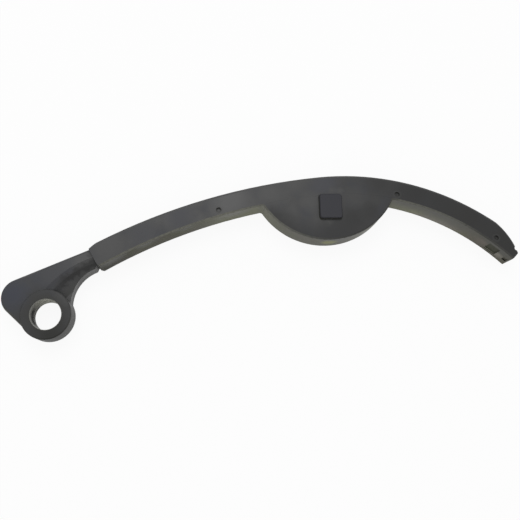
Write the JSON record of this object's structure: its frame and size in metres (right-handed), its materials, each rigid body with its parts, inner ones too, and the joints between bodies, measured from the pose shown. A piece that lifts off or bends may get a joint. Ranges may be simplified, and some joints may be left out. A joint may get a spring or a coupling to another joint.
{
  "type": "timing chain guide",
  "caption": "Curved timing chain guide: a pivot arm with a round eye carries a moulded shoe with a convex running face and a half-moon belly for a tensioner.",
  "frame": {"origin": "on the axis of the pivot bore, half way through the guide's width", "axes": "+X along the guide's length from the bore to the tip, +Y towards the running face, +Z along the bore to the front face that carries the pad"},
  "size_m": [0.2087, 0.0694, 0.0136],
  "materials": {
    "arm": "satin, moulded",
    "shoe": "satin, moulded"
  },
  "bodies": {
    "root": {"pivot_arm": "arm", "shoe": "shoe"}
  },
  "joints": []
}
